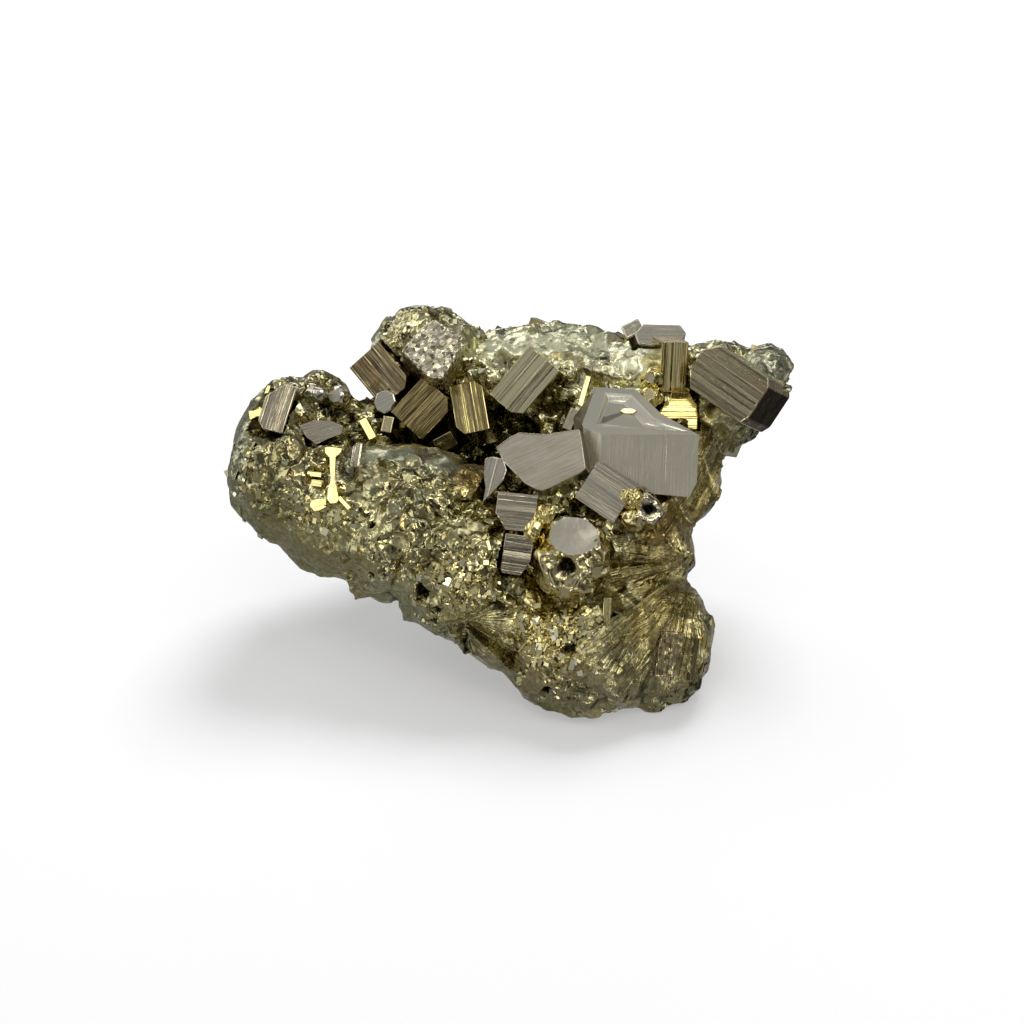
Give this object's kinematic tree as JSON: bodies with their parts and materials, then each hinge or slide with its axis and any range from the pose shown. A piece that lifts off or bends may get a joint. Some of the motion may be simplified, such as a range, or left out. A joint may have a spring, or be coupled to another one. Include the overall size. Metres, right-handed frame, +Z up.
{
  "type": "pyrite specimen",
  "caption": "Natural lump of iron pyrites: a granular massive body with an open pocket, grown together with striated cubes and blocks, resting on a level base.",
  "frame": {"origin": "middle of the footprint's bounding box, on the surface the specimen rests on", "axes": "+Z up; +X along the specimen's long side, towards the wedge with the striated bar; -Y is the side that the crystal-bearing face looks towards"},
  "size_m": [0.0598, 0.0416, 0.0334],
  "materials": {
    "pyrite": "metallic pale brass-grey crystal faces with fine growth striations, over granular olive-gold massive pyrite that is darker in its recesses"
  },
  "bodies": {
    "root": {"pyrite_cluster": "pyrite"}
  },
  "joints": []
}
